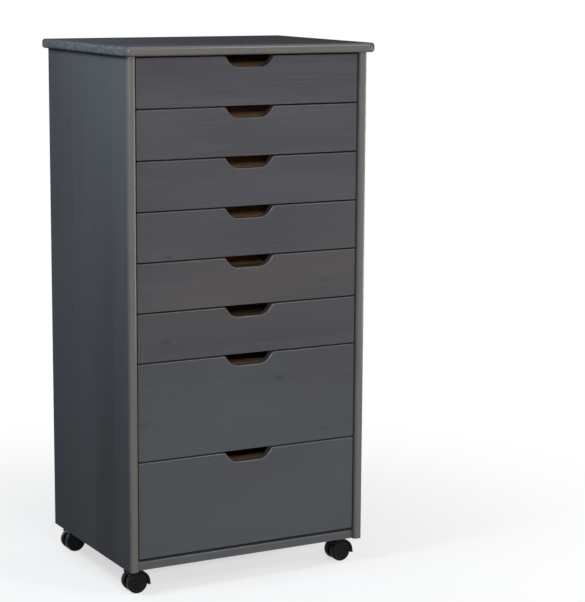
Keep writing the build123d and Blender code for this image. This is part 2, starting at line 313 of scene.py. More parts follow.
def grain_from_object(start, order):
    """Object coordinates with the axes in this order: along the grain, across it, in depth."""
    parts = dict(zip("XYZ", split_axes(start)))
    sockets = {place: parts[letter] for place, letter in enumerate(order)}
    return start.make("ShaderNodeCombineXYZ", {}, sockets)


def bare_pine(name, order=None):
    """Plain pine with growth rings, fibres and a few knots, and a dull surface.

    The grain follows the order of the object's axes, or else the mesh's own attribute.
    """
    material, shader, start = start_finish(name)
    wood = grain_from_object(start, order) if order else attribute(start, "wood", "Vector")
    late, fibre, stave, knot = pine_figure(wood)
    tone = late * pine_late_part + (fibre - 0.5) * fibre_part + (stave - 0.5) * pine_stave_part + pine_tone
    colour = blend_colours(tone, pine_early, pine_late)
    colour = blend_colours(knot * pine_knot_part, colour, pine_knot)
    bump = relief(fibre * 0.6 + late * 0.4, pine_relief, grain_depth)
    roughness = pine_roughness + (fibre - 0.5) * roughness_spread
    feed(shader, {"Base Color": colour, "Roughness": roughness, "Normal": bump})
    feed(shader, {"Specular IOR Level": bare_gloss})
    return material


def thin_sheet(name, pale, dark, order):
    """Rotary-cut sheet: broad wandering bands with short pores, along the first axis."""
    material, shader, start = start_finish(name)
    wood = grain_from_object(start, order)
    band = noise(wood, band_scale, detail=3.0, roughness=0.6)
    pore = noise(wood, pore_scale)
    tone = ramp(band, 0.3, 0.7) * band_part + ramp(pore, 0.35, 0.75) * pore_part
    roughness = sheet_roughness + (pore - 0.5) * pore_roughness
    feed(shader, {"Base Color": blend_colours(tone, dark, pale), "Roughness": roughness})
    feed(shader, {"Normal": relief(pore, sheet_relief, sheet_grain_depth), "Specular IOR Level": bare_gloss})
    return material


runner_pine = bare_pine("runner_pine", "YZX")
box_pine = bare_pine("box_pine")
sheet_pale, sheet_dark = (0.61, 0.45, 0.30, 1.0), (0.45, 0.30, 0.17, 1.0)
drawer_sheet = thin_sheet("drawer_sheet", sheet_pale, sheet_dark, "XYZ")
back_pale, back_dark = (0.085, 0.083, 0.088, 1.0), (0.045, 0.045, 0.049, 1.0)
back_sheet = thin_sheet("back_sheet", back_pale, back_dark, "ZXY")
print("finishes:", [finish.name for finish in (runner_pine, box_pine, drawer_sheet, back_sheet)])

# %% [markdown]
# ## Moulded plastic and plated steel
# The casters are black moulded plastic: nearly black, with a fine spark-eroded texture that spreads
# the gloss, and a little dust in the pores. Their pins are zinc-plated steel, which is a metal with
# faint turning marks.

# %% The casters' finishes
plastic_black = (0.0065, 0.0066, 0.0080, 1.0)
plastic_dusty = (0.0100, 0.0099, 0.0108, 1.0)
zinc_bright = (0.56, 0.57, 0.58, 1.0)
zinc_dull = (0.40, 0.41, 0.43, 1.0)
moulding_scale, dust_scale = (1500.0, 1500.0, 1500.0), (90.0, 90.0, 90.0)
plate_scale, turning_scale = (160.0, 160.0, 160.0), (40.0, 40.0, 2200.0)
plastic_roughness, zinc_roughness = 0.40, 0.28
gloss_spread, dust_roughness = 0.2, 0.12
plastic_gloss = 0.06
plastic_relief, plastic_grain_depth = 0.15, 0.0002
turning_relief, turning_depth = 0.1, 0.0001


def moulded_plastic():
    """Black plastic with a fine grain in its gloss and a trace of dust."""
    material, shader, start = start_finish("caster_plastic")
    grain = noise(start, moulding_scale)
    dust = noise(start, dust_scale, detail=3.0)
    roughness = plastic_roughness + (grain - 0.5) * gloss_spread + ramp(dust, 0.5, 0.8) * dust_roughness
    feed(shader, {"Base Color": blend_colours(ramp(dust, 0.45, 0.8), plastic_black, plastic_dusty)})
    feed(shader, {"Roughness": roughness, "Normal": relief(grain, plastic_relief, plastic_grain_depth)})
    feed(shader, {"Specular IOR Level": plastic_gloss})
    return material


def plated_steel():
    """Zinc plate, cloudy, with faint rings from turning."""
    material, shader, start = start_finish("zinc_plated_steel")
    cloud = noise(start, plate_scale, detail=3.0)
    turned = noise(start, turning_scale, detail=1.0)
    bump = relief(turned, turning_relief, turning_depth)
    feed(shader, {"Base Color": blend_colours(cloud, zinc_dull, zinc_bright), "Normal": bump})
    feed(shader, {"Roughness": zinc_roughness + (cloud - 0.5) * gloss_spread, "Metallic": 1.0})
    return material


plastic = moulded_plastic()
steel = plated_steel()
print("finishes:", plastic.name, steel.name)

# %% [markdown]
# ## Boards with rounded edges
# All the joinery is made of boards: an outline in a plane, carried through a thickness, with rounded
# edges. Blender's Bevel modifier could round a box, but an outline with arcs, scoops and rabbets is
# simpler to write down as numbers. Each ring of the board is the outline moved inwards a little, and
# the rings follow a quarter circle at each face. A polygon's corner can be moved inwards exactly with
# its mitre vector, which is what the formula below uses.


# %% Rings, edge profiles and faces, worked out as whole arrays
def rectangle(left, bottom, right, top):
    """The corners of a rectangle, anticlockwise from the lower left one."""
    return [(left, bottom), (right, bottom), (right, top), (left, top)]


def across_lines(before, after, weights_before, weights_after):
    """The mitre vector m of each corner, with m.n0 = w0 and m.n1 = w1 for the normals beside it."""
    cosine = (before * after).sum(-1, keepdims=True)
    first = (weights_before - weights_after * cosine) * before
    second = (weights_after - weights_before * cosine) * after
    return (first + second) / (1 - cosine**2)


def outline_rings(corners, radii, insets, edge_weights=None, steps=8, guard=0.002):
    """Closed rings of a polygon with rounded corners, moved inwards by each inset.

    A corner V has outward normals n0 and n1 and mitre m. The ring's points there are
    V - d m + s r' (n - m), with n turning from n0 to n1, s = 1 at an outer corner and -1 at an inner
    one, and r' = r - s d. One point lies a guard length before each arc and one after it.
    The weights scale the inset of each edge, the one that starts at the corner of the same number.
    """
    corners = np.asarray(corners, float)
    radii = np.asarray(radii, float)
    weights = np.ones(len(corners)) if edge_weights is None else np.asarray(edge_weights, float)
    edges = np.roll(corners, -1, axis=0) - corners
    after = edges / np.linalg.norm(edges, axis=1, keepdims=True)
    before = np.roll(after, 1, axis=0)
    normals_before = np.stack([before[:, 1], -before[:, 0]], axis=1)
    normals_after = np.stack([after[:, 1], -after[:, 0]], axis=1)
    weights_before = np.roll(weights, 1)[:, None]
    inward = across_lines(normals_before, normals_after, weights_before, weights[:, None])
    mitre = across_lines(normals_before, normals_after, 1.0, 1.0)
    turn = np.arctan2(before[:, 0] * after[:, 1] - before[:, 1] * after[:, 0], (before * after).sum(1))
    side = np.sign(turn)
    begin = np.arctan2(normals_before[:, 1], normals_before[:, 0])
    angles = begin[:, None] + turn[:, None] * np.linspace(0, 1, steps + 1)
    normals = np.stack([np.cos(angles), np.sin(angles)], axis=-1)
    depth = np.asarray(insets, float)[:, None, None]
    shrink = depth * np.minimum(weights, np.roll(weights, 1))[None, :, None]
    radius = np.maximum(radii[None, :, None] - side[None, :, None] * shrink, 0.0)
    arcs = corners[None, :, None] - depth[..., None] * inward[None, :, None]
    arcs = arcs + (side[None, :, None] * radius)[..., None] * (normals - mitre[:, None])[None]
    lead = arcs[:, :, :1] - guard * before[None, :, None]
    tail = arcs[:, :, -1:] + guard * after[None, :, None]
    rings = np.concatenate([lead, arcs, tail], axis=2)
    return rings.reshape(len(insets), -1, 2)


def edge_profile(bottom, top, lower_round, upper_round, flank=1.0, steps=5):
    """Heights, insets and wear of a board's rings from its lower to its upper face.

    On a rounding of radius r, the height from the face is r (1 - cos a) and the inset r (1 - sin a),
    with a from 0 at the face to 90 degrees at the flank. Wear is 1 half way round.
    """
    angle = np.linspace(0, np.pi / 2, steps + 1)
    rise, reach = 1 - np.cos(angle), 1 - np.sin(angle)
    heights = np.concatenate([bottom + lower_round * rise, top - upper_round * rise[::-1]])
    insets = np.concatenate([lower_round * reach, upper_round * reach[::-1]])
    wear = np.interp(angle, [0, np.pi / 4, np.pi / 2], [0, 1, flank])
    return heights, insets, np.concatenate([wear, wear[::-1]])


def closed_faces(levels, count):
    """Quads between neighbouring rings, and one face over each end."""
    ring = np.arange(count)
    near = np.arange(levels - 1)[:, None] * count + ring
    far = np.arange(levels - 1)[:, None] * count + np.roll(ring, -1)
    quads = np.stack([near, far, far + count, near + count], axis=-1).reshape(-1, 4)
    return quads.tolist() + [ring[::-1].tolist(), (ring + (levels - 1) * count).tolist()]


print("board helpers ready")

# %% [markdown]
# ## Putting a piece into the scene
# A piece is one or more closed shells in one mesh. Three attributes go with the boards: `wood`, the place in
# the log, `rub`, how far an edge is sanded through, and `tint`. A Weighted Normal modifier keeps the large
# faces flat in the light and lets only the roundings turn. Then the piece is parented to the body it moves
# with, takes its finish, and hides the CAD node that it stands for.

# %% A shell, a board and a finished piece
rng = np.random.default_rng(20)
axes_flat = np.array([[1.0, 0, 0], [0, 1, 0], [0, 0, 1]])
axes_upright = np.array([[1.0, 0, 0], [0, 0, 1], [0, -1, 0]])
smooth_limit = math.radians(38)
weld_distance = 1e-6


def board_shell(corners, radii, profile, axes, corner_rub=1.0, **ring_options):
    """A board: its rings are moved in by the profile, and u, v and height go along the three axes.

    The wear is the profile's, times a share that goes from one value to the other round each corner.
    """
    heights, insets, wear = profile
    rings = outline_rings(corners, radii, insets, **ring_options)
    levels, count, _ = rings.shape
    rise = np.broadcast_to(heights[:, None, None], (levels, count, 1))
    points = np.concatenate([rings, rise], axis=2).reshape(-1, 3) @ axes
    ends = np.broadcast_to(np.asarray(corner_rub, float), (len(radii), 2))
    share = np.linspace(ends[:, 0], ends[:, 1], count // len(radii), axis=1)
    rub = wear[:, None] * share.reshape(1, -1)
    return points, closed_faces(levels, count), rub.reshape(-1)


def join_shells(shells):
    """The shells' points, faces and wear as one mesh's."""
    sizes = np.cumsum([0] + [len(points) for points, _, _ in shells])
    faces = [[index + first for index in face] for first, shell in zip(sizes, shells) for face in shell[1]]
    return np.concatenate([shell[0] for shell in shells]), faces, np.concatenate([s[2] for s in shells])


def add_piece(name, shells, node, body, finish, grain=None, tint=0.5):
    """A finished piece made of closed shells, in place of a CAD node, riding on its body."""
    points, faces, rub = join_shells(shells)
    mesh = bpy.data.meshes.new(name)
    mesh.from_pydata(points.tolist(), [], faces)
    if grain:
        order = ["xyz".index(letter) for letter in grain]
        middle = (points.min(axis=0) + points.max(axis=0)) / 2
        offset = np.array([rng.uniform(-4, 4), rng.uniform(-40, 40), 0.0])
        wood = (points - middle)[:, order] + offset
        mesh.attributes.new("wood", "FLOAT_VECTOR", "POINT").data.foreach_set("vector", wood.ravel())
        mesh.attributes.new("rub", "FLOAT", "POINT").data.foreach_set("value", rub)
        mesh.attributes.new("tint", "FLOAT", "POINT").data.foreach_set("value", np.full(len(points), tint))
    shape = bmesh.new()
    shape.from_mesh(mesh)
    bmesh.ops.remove_doubles(shape, verts=shape.verts, dist=weld_distance)
    shape.to_mesh(mesh)
    shape.free()
    mesh.shade_smooth()
    mesh.set_sharp_from_angle(angle=smooth_limit)
    mesh.materials.append(finish)
    piece = bpy.data.objects.new(name, mesh)
    bpy.context.scene.collection.objects.link(piece)
    weighted = piece.modifiers.new("flat_faces", "WEIGHTED_NORMAL")
    weighted.keep_sharp = True
    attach(piece, body)
    if node:
        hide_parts(node)
    return piece


def node_corners(node):
    """A CAD node's lowest and highest corner as arrays."""
    low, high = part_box(node)
    return np.array(low), np.array(high)


print("piece helpers ready")

# %% [markdown]
# ## The top
# The top is one wide board with its grain from side to side. Its front corners are rounded in plan and
# its edges are rounded above and below, so the light runs along them in two bright lines. The back edge
# stays square, to stand against a wall: the outline's weights keep that edge almost unmoved.

# %% The top board
top_corner_radius = 0.013
top_edge_radius = 0.006
back_corner_radius = 0.0008
square_weight = 0.12

low, high = node_corners("top_panel")
corners = rectangle(low[0], low[1], high[0], high[1])
radii = [top_corner_radius, top_corner_radius, back_corner_radius, back_corner_radius]
profile = edge_profile(low[2], high[2], top_edge_radius, top_edge_radius)
weights = [1.0, 1.0, square_weight, 1.0]
rubs = [(-1.0, 1.0), (1.0, -1.0), (-1.0, 0.0), (0.0, -1.0)]
shell = board_shell(corners, radii, profile, axes_flat, rubs, edge_weights=weights)
add_piece("top_board", [shell], "top_panel", "cabinet", stained, "xyz")
print("top:", np.round((high - low) * 1000, 1), "mm")

# %% [markdown]
# ## The sides
# Each side is a tall board whose front edge is rounded on both corners, like a flattened half round.
# In plan it is a long strip with two arcs in front and a rabbet behind, where the back sheet lies. The
# same outline is carried from the foot to the underside of the top. The rubbed edges are now the arcs
# of the outline, not its faces, so the corners carry the wear.

# %% The two side boards
side_edge_radius = 0.006
arris = 0.0007
foot_round = 0.0006
rabbet_width = 0.009
rabbet_depth = 0.005
side_tint = 0.72


def side_board(name, node, hand):
    """A side board, with hand -1 for the left and 1 for the right one."""
    low, high = node_corners(node)
    underside = node_corners("top_panel")[0][2]
    outer, inner = (low[0], high[0]) if hand < 0 else (high[0], low[0])
    shelf = inner + hand * rabbet_width
    back, rest = high[1], high[1] - rabbet_depth
    corners = [(outer, low[1]), (inner, low[1]), (inner, rest), (shelf, rest), (shelf, back), (outer, back)]
    radii = [side_edge_radius, side_edge_radius, arris, arris, arris, arris]
    rubs = [(0.0, 1.0), (1.0, 0.0), (0.0, 0.0), (0.0, 0.0), (0.2, 0.2), (0.2, 0.0)]
    if hand > 0:
        corners, radii = corners[::-1], radii[::-1]
        rubs = [pair[::-1] for pair in rubs[::-1]]
    profile = edge_profile(low[2], underside, foot_round, arris, steps=3)
    shell = board_shell(corners, radii, profile, axes_flat, rubs)
    return add_piece(name, [shell], node, "cabinet", stained, "zyx", side_tint)


sides = [side_board("left_side_board", "left_side_panel", -1)]
sides.append(side_board("right_side_board", "right_side_panel", 1))
print("sides:", [piece.name for piece in sides])

# %% [markdown]
# ## The bottom
# The bottom is housed between the sides and set back a little. Only its front edge shows, as a low
# rail under the last drawer, with its two long edges eased.

# %% The bottom board
bottom_edge_radius = 0.0025
rail_wear = 0.45
rail_tint = 0.7

low, high = node_corners("bottom_panel")
left, right = node_corners("left_side_panel")[1][0], node_corners("right_side_panel")[0][0]
corners = rectangle(left, low[1], right, high[1])
profile = edge_profile(low[2], high[2], bottom_edge_radius, bottom_edge_radius, rail_wear)
weights = [1.0, square_weight, square_weight, square_weight]
shell = board_shell(corners, [arris] * 4, profile, axes_flat, edge_weights=weights)
add_piece("bottom_board", [shell], "bottom_panel", "cabinet", stained, "xyz", rail_tint)
print("bottom:", round((right - left) * 1000, 1), "mm between the sides")

# %% [markdown]
# ## The drawer fronts
# A front is a board with a finger scoop cut out of its upper edge: a shallow trapezium with rounded
# shoulders and rounded floor corners. The whole outline, scoop included, gets the same small rounding
# in front. The mitre formula treats the scoop's floor corners as inner corners, where the rounding
# widens the arc instead of narrowing it.

# %% Eight fronts
front_edge_radius = 0.0022
front_corner_radius = 0.0026
scoop_width = 0.101
scoop_depth = 0.020
scoop_run = 0.015
scoop_floor_radius = 0.026
scoop_mouth_radius = 0.004
front_edge_wear = 0.35
front_guard = 0.001
front_tints = [0.46, 0.44, 0.48, 0.46, 0.36, 0.40, 0.70, 0.78]


def front_board(drawer):
    """A drawer's front: the outline in the plane of X and Z, its thickness towards the viewer."""
    low, high = node_corners(f"{drawer}_front")
    floor, half, floor_half = high[2] - scoop_depth, scoop_width / 2, scoop_width / 2 - scoop_run
    corners = [(low[0], low[2]), (high[0], low[2]), (high[0], high[2]), (half, high[2]), (floor_half, floor)]
    corners += [(-floor_half, floor), (-half, high[2]), (low[0], high[2])]
    radii = [front_corner_radius] * 3 + [scoop_mouth_radius, scoop_floor_radius]
    radii += [scoop_floor_radius, scoop_mouth_radius, front_corner_radius]
    profile = edge_profile(-high[1], -low[1], arris, front_edge_radius, front_edge_wear)
    shell = board_shell(corners, radii, profile, axes_upright, guard=front_guard)
    piece = f"{drawer}_front_board"
    tint = front_tints[drawer_names.index(drawer)]
    return add_piece(piece, [shell], f"{drawer}_front", drawer, stained, "xzy", tint)


fronts = [front_board(drawer) for drawer in drawer_names]
print("fronts:", len(fronts))

# %% [markdown]
# ## The drawer boxes
# Behind each front are two sides, a back and a thin bottom, all of bare pine. Each side has a groove
# along its outer face for the runner, which stops short of the front. An outline can't change half way,
# so the side is two shells that meet: a plain one next to the front and a grooved one behind it. The
# upper edges are eased, as they are on any drawer that hands reach into.

# %% Sides, backs and bottoms
drawer_side_thickness = 0.012
box_edge_radius = 0.0018
groove_depth = 0.0065
groove_height = 0.015
groove_share = 0.55
groove_below = 0.0077
groove_land = 0.030
shell_gap = 0.000005
box_guard = 0.0005


def drawer_side(low, high, hand, front_rear, inner):
    """The two shells of one drawer side, with hand -1 for the left and 1 for the right."""
    outer = hand * high[0]
    floor = outer - hand * groove_depth
    foot = low[2] + groove_share * (high[2] - low[2]) - groove_below
    head = foot + groove_height
    lower, upper = [(inner, low[2]), (outer, low[2])], [(outer, high[2]), (inner, high[2])]
    groove = [(outer, foot), (floor, foot), (floor, head), (outer, head)]
    ends = [-high[1], -front_rear - groove_land, -front_rear]
    shells = []
    for cut, start, stop in (([], ends[1], ends[2]), (groove, ends[0], ends[1] - shell_gap)):
        corners = lower + cut + upper
        radii = [arris] * (2 + len(cut)) + [box_edge_radius] * 2
        if hand < 0:
            corners, radii = corners[::-1], radii[::-1]
        profile = edge_profile(start, stop, arris if cut else 0.0, 0.0, steps=3)
        shells.append(board_shell(corners, radii, profile, axes_upright, steps=4, guard=box_guard))
    return shells


def drawer_box(drawer):
    """Sides, back and bottom of one drawer, as three pieces."""
    low, high = node_corners(f"{drawer}_sides")
    back_low, back_high = node_corners(f"{drawer}_back")
    sheet_low, sheet_high = node_corners(f"{drawer}_bottom")
    front_rear = node_corners(f"{drawer}_front")[1][1]
    inner = high[0] - drawer_side_thickness
    shells = drawer_side(low, high, -1, front_rear, -inner) + drawer_side(low, high, 1, front_rear, inner)
    name = f"{drawer}_side_boards"
    sides = add_piece(name, shells, f"{drawer}_sides", drawer, box_pine, "yzx")
    corners = rectangle(-inner, back_low[2], inner, back_high[2])
    profile = edge_profile(-back_high[1], -back_low[1], box_edge_radius, box_edge_radius, steps=4)
    weights = [square_weight, square_weight, 1.0, square_weight]
    shell = board_shell(corners, [arris] * 4, profile, axes_upright, edge_weights=weights, guard=box_guard)
    name = f"{drawer}_back_board"
    back = add_piece(name, [shell], f"{drawer}_back", drawer, box_pine, "xzy")
    corners = rectangle(-inner, front_rear, inner, sheet_high[1])
    profile = edge_profile(sheet_low[2], sheet_high[2], 0.0, 0.0, steps=1)
    shell = board_shell(corners, [arris] * 4, profile, axes_flat, guard=box_guard)
    name = f"{drawer}_bottom_sheet"
    bottom = add_piece(name, [shell], f"{drawer}_bottom", drawer, drawer_sheet)
    return [sides, back, bottom]


boxes = [drawer_box(drawer) for drawer in drawer_names]
print("drawer boxes:", len(boxes), "with", sum(len(pieces) for pieces in boxes), "pieces")

# %% [markdown]
# ## The back
# The back is a thin stained sheet in the rabbets of the sides, held by small flat-headed nails. It lies
# a little below the sides' rear edges, so that the nail heads stay inside the cabinet's box. A nail
# head is turned: a profile from one end of the axis to the other, carried round it. The caster wheels
# are turned by the same function later on.

# %% Back sheet and nails
sheet_recess = 0.0008
nail_radius = 0.0022
nail_rise = 0.0005
nail_inset = 0.0047
nail_sides = 12
column_count, column_below, column_above = 9, 0.045, 0.035
row_count, row_inset, row_above = 4, 0.1, 0.0085
least_round = 1e-5
axes_behind = np.array([[-1.0, 0, 0], [0, 0, 1], [0, 1, 0]])


def pole_to_pole(corners, radii, steps=5, guard=0.00008):
    """A profile of radius and place with its corners rounded, but for its two ends on the axis."""
    ring = outline_rings(corners, np.maximum(radii, least_round), [0.0], steps=steps, guard=guard)[0]
    rounded = ring.reshape(len(corners), -1, 2)[1:-1].reshape(-1, 2)
    return np.concatenate([corners[:1], rounded, corners[-1:]])


def turned_shell(profile, x, z, sides):
    """A profile that rises along Y, turned about the axis through x and z.

    The point is (x + r cos t, y, z + r sin t), with the radius r and the place y from the profile.
    """
    angle = np.linspace(0, 2 * np.pi, sides, endpoint=False)[:, None]
    radius, place = np.broadcast_arrays(profile[:, 0], profile[:, 1] + 0 * angle)
    points = np.stack([x + radius * np.cos(angle), place, z + radius * np.sin(angle)], axis=-1)
    near = np.arange(sides)[:, None] * len(profile) + np.arange(len(profile) - 1)
    far = np.roll(near, -1, axis=0)
    quads = np.stack([near, near + 1, far + 1, far], axis=-1)
    return points.reshape(-1, 3), quads.reshape(-1, 4).tolist(), np.zeros(radius.size)


low, high = node_corners("back_panel")
corners = rectangle(-high[0], low[2], -low[0], high[2])
rear = high[1] - sheet_recess
shell = board_shell(corners, [arris] * 4, edge_profile(low[1], rear, 0.0, arris, steps=2), axes_behind)
add_piece("back_sheet_board", [shell], "back_panel", "cabinet", back_sheet)

column = np.linspace(low[2] + column_below, high[2] - column_above, column_count)
row = np.linspace(low[0] + row_inset, high[0] - row_inset, row_count)
places = [(side * (high[0] - nail_inset), z) for side in (-1, 1) for z in column]
places += [(x, low[2] + row_above) for x in row]
foot, head = rear - nail_rise, rear + nail_rise
corners = [(0.0, foot), (nail_radius, foot), (nail_radius, head), (0.0, head)]
profile = pole_to_pole(corners, [0.0, 0.0, nail_rise, 0.0], steps=3)
nails = [turned_shell(profile, x, z, nail_sides) for x, z in places]
add_piece("back_nails", nails, None, "cabinet", steel)
print("nails:", len(nails))

# %% [markdown]
# ## Pieces that stay as they are
# The runners, the axles and the king pins are plain strips and pins that are hardly seen. Their CAD
# meshes stay, and only get their finish.

# %% Finishes for runners and pins
node_finishes = {"left_runners": runner_pine, "right_runners": runner_pine, "king_pins": steel}
for caster in caster_names:
    node_finishes[f"{caster}_axle"] = steel
for node, finish in node_finishes.items():
    data = bpy.data.objects[node].data
    data.materials.clear()
    data.materials.append(finish)
print("CAD nodes with a finish of their own:", len(node_finishes))

# %% [markdown]
# ## The casters
# A caster has two wheels on one axle and a hood over both. The wheels are moulded, with a blind bore for
# the axle, a shallow dish in the outer face and a small cap in its middle. A cylinder with loop cuts
# could give that too, but a wheel is what turning is for: its half section is written down once, and
# the function that made the nail heads carries it round.

# %% Wheels
wheel_sides = 72
wheel_round, wheel_back_round = 0.0028, 0.0014
dish_radius, dish_depth, dish_slope = 0.0150, 0.0009, 0.001
dish_rim_round, dish_floor_round = 0.0012, 0.0006
cap_radius, cap_rise, cap_slope, cap_round = 0.0062, 0.0005, 0.0004, 0.0003
bore_radius, bore_cover, bore_round = 0.00255, 0.003, 0.0003


def wheel_shell(low, high, hand):
    """A wheel with its dished face towards -Y for hand -1 and towards +Y for hand 1."""
    middle = (low + high) / 2
    radius = (high[2] - low[2]) / 2
    face, back = (low[1], high[1]) if hand < 0 else (high[1], low[1])
    dish = face - hand * dish_depth
    cap = dish + hand * cap_rise
    bore_end = face - hand * bore_cover
    corners = [(0.0, bore_end), (bore_radius, bore_end), (bore_radius, back), (radius, back), (radius, face)]
    corners += [(dish_radius + dish_slope, face), (dish_radius, dish), (cap_radius + cap_slope, dish)]
    corners += [(cap_radius, cap), (0.0, cap)]
    radii = [0.0, 0.0, bore_round, wheel_back_round, wheel_round, dish_rim_round, dish_floor_round]
    radii += [cap_round, cap_round, 0.0]
    profile = pole_to_pole(corners, radii)
    return turned_shell(profile if hand > 0 else profile[::-1], middle[0], middle[2], wheel_sides)


def wheel(caster, place, hand):
    """One wheel as a piece."""
    node = f"{caster}_{place}_wheel"
    low, high = node_corners(node)
    shell = wheel_shell(low, high, hand)
    return add_piece(f"{node}_disc", [shell], node, node, plastic)


wheels = [wheel(caster, place, hand) for caster in caster_names for place, hand in (("fore", -1), ("aft", 1))]
print("wheels:", len(wheels))

# %% [markdown]
# ## The hoods
# The hood is one black moulding: a fender over both wheels, a lip under its closed side, a web between
# the wheels that holds the axle, and a neck that turns on the king pin. Joining solids with Boolean
# modifiers would leave ragged faces where they meet. So each part is a closed shell of its own, and the
# shells run into each other inside the moulding. The fender is the same kind of board as before, but
# carried round an arc instead of along a line.

# %% Hoods
hood_outer = 0.0245
hood_wall = 0.003
hood_air = 0.001
wheel_radius = 0.020
hood_offset = 0.0015
hood_start, hood_end = math.radians(-8), math.radians(132)
hood_round = 0.0008
hood_guard = 0.0002
fender_steps, fender_guard = 40, 0.0004
lip_height, lip_length, lip_corner_share = 0.0032, 0.0062, 0.35
web_half, web_reach = 0.005, 0.006
web_edge_round, web_corner_radius, web_arc_points = 0.0006, 0.0008, 10
caster_trail = 0.004
neck_half, neck_length, neck_corner_radius = 0.0075, 0.0062, 0.004
neck_foot_round, neck_head_round = 0.0005, 0.0008


def fender_shell(axle, low_y, high_y):
    """The hood's wall: a rounded strip of radius and width, carried round the axle from start to end.

    At a share s of the wall's thickness the point is (x + s o + r cos a, y, z + r sin a), and r goes
    from the inner to the outer radius. The outer arc's middle lies the offset o further on, so the wall
    is thickest on the closed side.
    """
    inner = wheel_radius + hood_air
    corners = rectangle(0.0, low_y, hood_wall, high_y)
    reach = hood_round / hood_outer
    steps = 3
    heights, insets, _ = edge_profile(hood_start, hood_end, reach, reach, steps=steps)
    insets = insets * hood_outer
    turn = np.linspace(heights[steps], heights[steps + 1], fender_steps)
    heights = np.concatenate([heights[:steps], turn, heights[steps + 2 :]])
    insets = np.concatenate([insets[:steps], np.zeros(fender_steps), insets[steps + 2 :]])
    rings = outline_rings(corners, [hood_round + least_round] * 4, insets, steps=4, guard=fender_guard)
    angle = heights[:, None]
    share = rings[..., 0] / hood_wall
    radius = inner + share * (hood_outer - inner)
    x = axle[0] + share * hood_offset + radius * np.cos(angle)
    points = np.stack([x, rings[..., 1], axle[2] + radius * np.sin(angle)], axis=-1)
    return points.reshape(-1, 3), closed_faces(*radius.shape), np.zeros(radius.size)


def web_shell(axle, middle, y):
    """The web between the wheels: the fender's arc closed by lines round the axle, as an upright board."""
    angle = np.linspace(hood_start, hood_end, web_arc_points)
    radius = hood_outer - hood_wall / 2
    arc = np.stack([middle[0] + radius * np.cos(angle), middle[2] + radius * np.sin(angle)], axis=1)
    foot = np.array([(axle[0] - web_reach, axle[2] - web_reach), (axle[0] + web_reach, axle[2] - web_reach)])
    corners = np.concatenate([arc, foot])
    radii = [web_corner_radius] * len(corners)
    profile = edge_profile(-y - web_half, -y + web_half, web_edge_round, web_edge_round, steps=3)
    return board_shell(corners, radii, profile, axes_upright, steps=3, guard=hood_guard)


def lip_shell(axle, low_y, high_y):
    """The lip under the closed side: a small bar that stands out from the wall along the whole width."""
    outwards = np.array([math.cos(hood_start), math.sin(hood_start)])
    upwards = np.array([-outwards[1], outwards[0]]) * lip_height / 2
    foot = axle[[0, 2]] + outwards * (wheel_radius + hood_air)
    tip = foot + outwards * lip_length
    corners = [foot - upwards, tip - upwards, tip + upwards, foot + upwards]
    radii = [lip_height * lip_corner_share] * 4
    profile = edge_profile(-high_y, -low_y, hood_round, hood_round, steps=3)
    return board_shell(corners, radii, profile, axes_upright, steps=4, guard=hood_guard)


def hood(caster):
    """Fender, lip, web and neck of one caster, as one moulding."""
    low, high = node_corners(f"{caster}_axle")
    axle = (low + high) / 2
    middle = axle + np.array([hood_offset, 0, 0])
    hood_low, hood_high = node_corners(f"{caster}_hood")
    shells = [fender_shell(axle, hood_low[1], hood_high[1]), web_shell(axle, middle, axle[1])]
    shells.append(lip_shell(axle, hood_low[1], hood_high[1]))
    x, y = axle[0] + caster_trail, axle[1]
    corners = rectangle(x - neck_half, y - neck_half, x + neck_half, y + neck_half)
    neck_foot = hood_high[2] - neck_length
    profile = edge_profile(neck_foot, hood_high[2], neck_foot_round, neck_head_round, steps=3)
    shells.append(board_shell(corners, [neck_corner_radius] * 4, profile, axes_flat))
    name = f"{caster}_hood"
    return add_piece(f"{name}_moulding", shells, name, caster, plastic)


hoods = [hood(caster) for caster in caster_names]
print("hoods:", len(hoods))

# %% [markdown]
# ## The studio
# The photograph shows the cart on pure white. The world and the floor are white to the camera and to
# reflections, by Light Path, while the light that falls on the cart is set on its own. The floor near
# the cart is a plain pale surface, so that it keeps the shadow, and fades to white further out.

# %% The world
ambient_level = 0.22

scene = bpy.context.scene
scene.view_settings.view_transform = "Standard"
world = bpy.data.worlds.new("studio")
world.use_nodes = True
scene.world = world


def seen_rays(tree):
    """1 for rays from the camera, from reflections and through glass, and 0 for the rest."""
    path = tree.nodes.new("ShaderNodeLightPath")
    kinds = ("Camera", "Glossy", "Transmission")
    camera_ray, glossy_ray, clear_ray = (Value(path.outputs[f"Is {kind} Ray"]) for kind in kinds)
    return camera_ray.math("MINIMUM", camera_ray + glossy_ray + clear_ray, 1.0)


tree = world.node_tree
background = tree.nodes["Background"]
seen = seen_rays(tree)
strength = seen * (1.0 - ambient_level) + ambient_level
background.inputs["Color"].default_value = (1.0, 1.0, 1.0, 1.0)
tree.links.new(strength.socket, background.inputs["Strength"])
print("world:", world.name)

# %% The floor
floor_colour = (0.90, 0.90, 0.90, 1.0)
floor_bounce = (0.15, 0.15, 0.15, 1.0)
floor_half = 8.0
floor_roughness = 0.9
fade_start, fade_end = 0.3, 1.3
near_white = 0.6

floor_mesh = bpy.data.meshes.new("floor")
edge = floor_half * np.array([[-1, -1, 0], [1, -1, 0], [1, 1, 0], [-1, 1, 0]])
floor_mesh.from_pydata(edge.tolist(), [], [[0, 1, 2, 3]])
floor = bpy.data.objects.new("floor", floor_mesh)
scene.collection.objects.link(floor)

